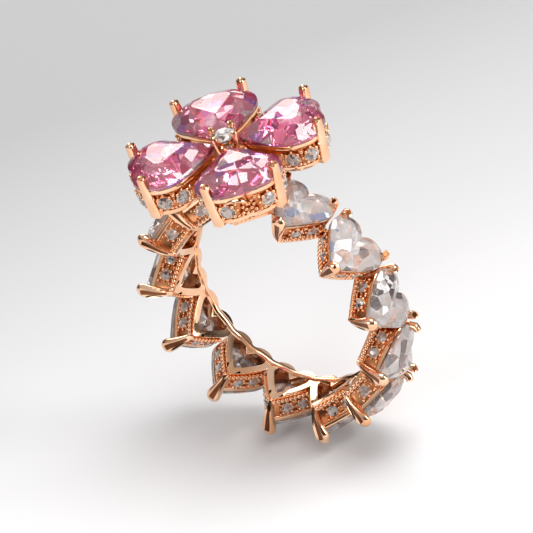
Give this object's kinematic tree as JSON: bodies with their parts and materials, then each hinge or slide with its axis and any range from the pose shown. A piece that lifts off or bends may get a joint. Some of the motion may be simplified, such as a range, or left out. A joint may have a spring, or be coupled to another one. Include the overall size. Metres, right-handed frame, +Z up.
{
  "type": "cocktail ring",
  "caption": "Rose-gold eternity ring of heart-shaped clear stones in claw collets, carrying a four-petal flower of pink heart stones.",
  "frame": {"origin": "centre of the finger hole, on its axis straight below the middle of the flower", "axes": "+Y along the finger through the hole, away from the hearts' points; +Z up through the middle of the flower; +X completes a right-handed frame"},
  "size_m": [0.0252, 0.015, 0.0292],
  "materials": {
    "rose_gold": "polished rose-gold plate, bright and smooth",
    "clear_stone": "clear faceted cubic zirconia, polished",
    "pink_stone": "pink faceted cubic zirconia, polished"
  },
  "bodies": {
    "root": {"back_rail": "rose_gold", "top_collet": "rose_gold", "top_accents": "clear_stone", "head_stem": "rose_gold", "head_plate": "rose_gold", "centre_basket": "rose_gold", "centre_stone": "clear_stone", "band_collet_01": "rose_gold", "band_collet_02": "rose_gold", "band_collet_03": "rose_gold", "band_collet_04": "rose_gold", "band_collet_05": "rose_gold", "band_collet_06": "rose_gold", "band_collet_07": "rose_gold", "band_collet_08": "rose_gold", "band_collet_09": "rose_gold", "band_collet_10": "rose_gold", "band_collet_11": "rose_gold", "band_collet_12": "rose_gold", "band_heart_01": "clear_stone", "band_heart_02": "clear_stone", "band_heart_03": "clear_stone", "band_heart_04": "clear_stone", "band_heart_05": "clear_stone", "band_heart_06": "clear_stone", "band_heart_07": "clear_stone", "band_heart_08": "clear_stone", "band_heart_09": "clear_stone", "band_heart_10": "clear_stone", "band_heart_11": "clear_stone", "band_heart_12": "clear_stone", "band_accents_01": "clear_stone", "band_accents_02": "clear_stone", "band_accents_03": "clear_stone", "band_accents_04": "clear_stone", "band_accents_05": "clear_stone", "band_accents_06": "clear_stone", "band_accents_07": "clear_stone", "band_accents_08": "clear_stone", "band_accents_09": "clear_stone", "band_accents_10": "clear_stone", "band_accents_11": "clear_stone", "band_accents_12": "clear_stone", "petal_collet_front_right": "rose_gold", "petal_collet_back_right": "rose_gold", "petal_collet_back_left": "rose_gold", "petal_collet_front_left": "rose_gold", "petal_stone_front_right": "pink_stone", "petal_stone_back_right": "pink_stone", "petal_stone_back_left": "pink_stone", "petal_stone_front_left": "pink_stone", "petal_accents_front_right": "clear_stone", "petal_accents_back_right": "clear_stone", "petal_accents_back_left": "clear_stone", "petal_accents_front_left": "clear_stone"}
  },
  "joints": []
}
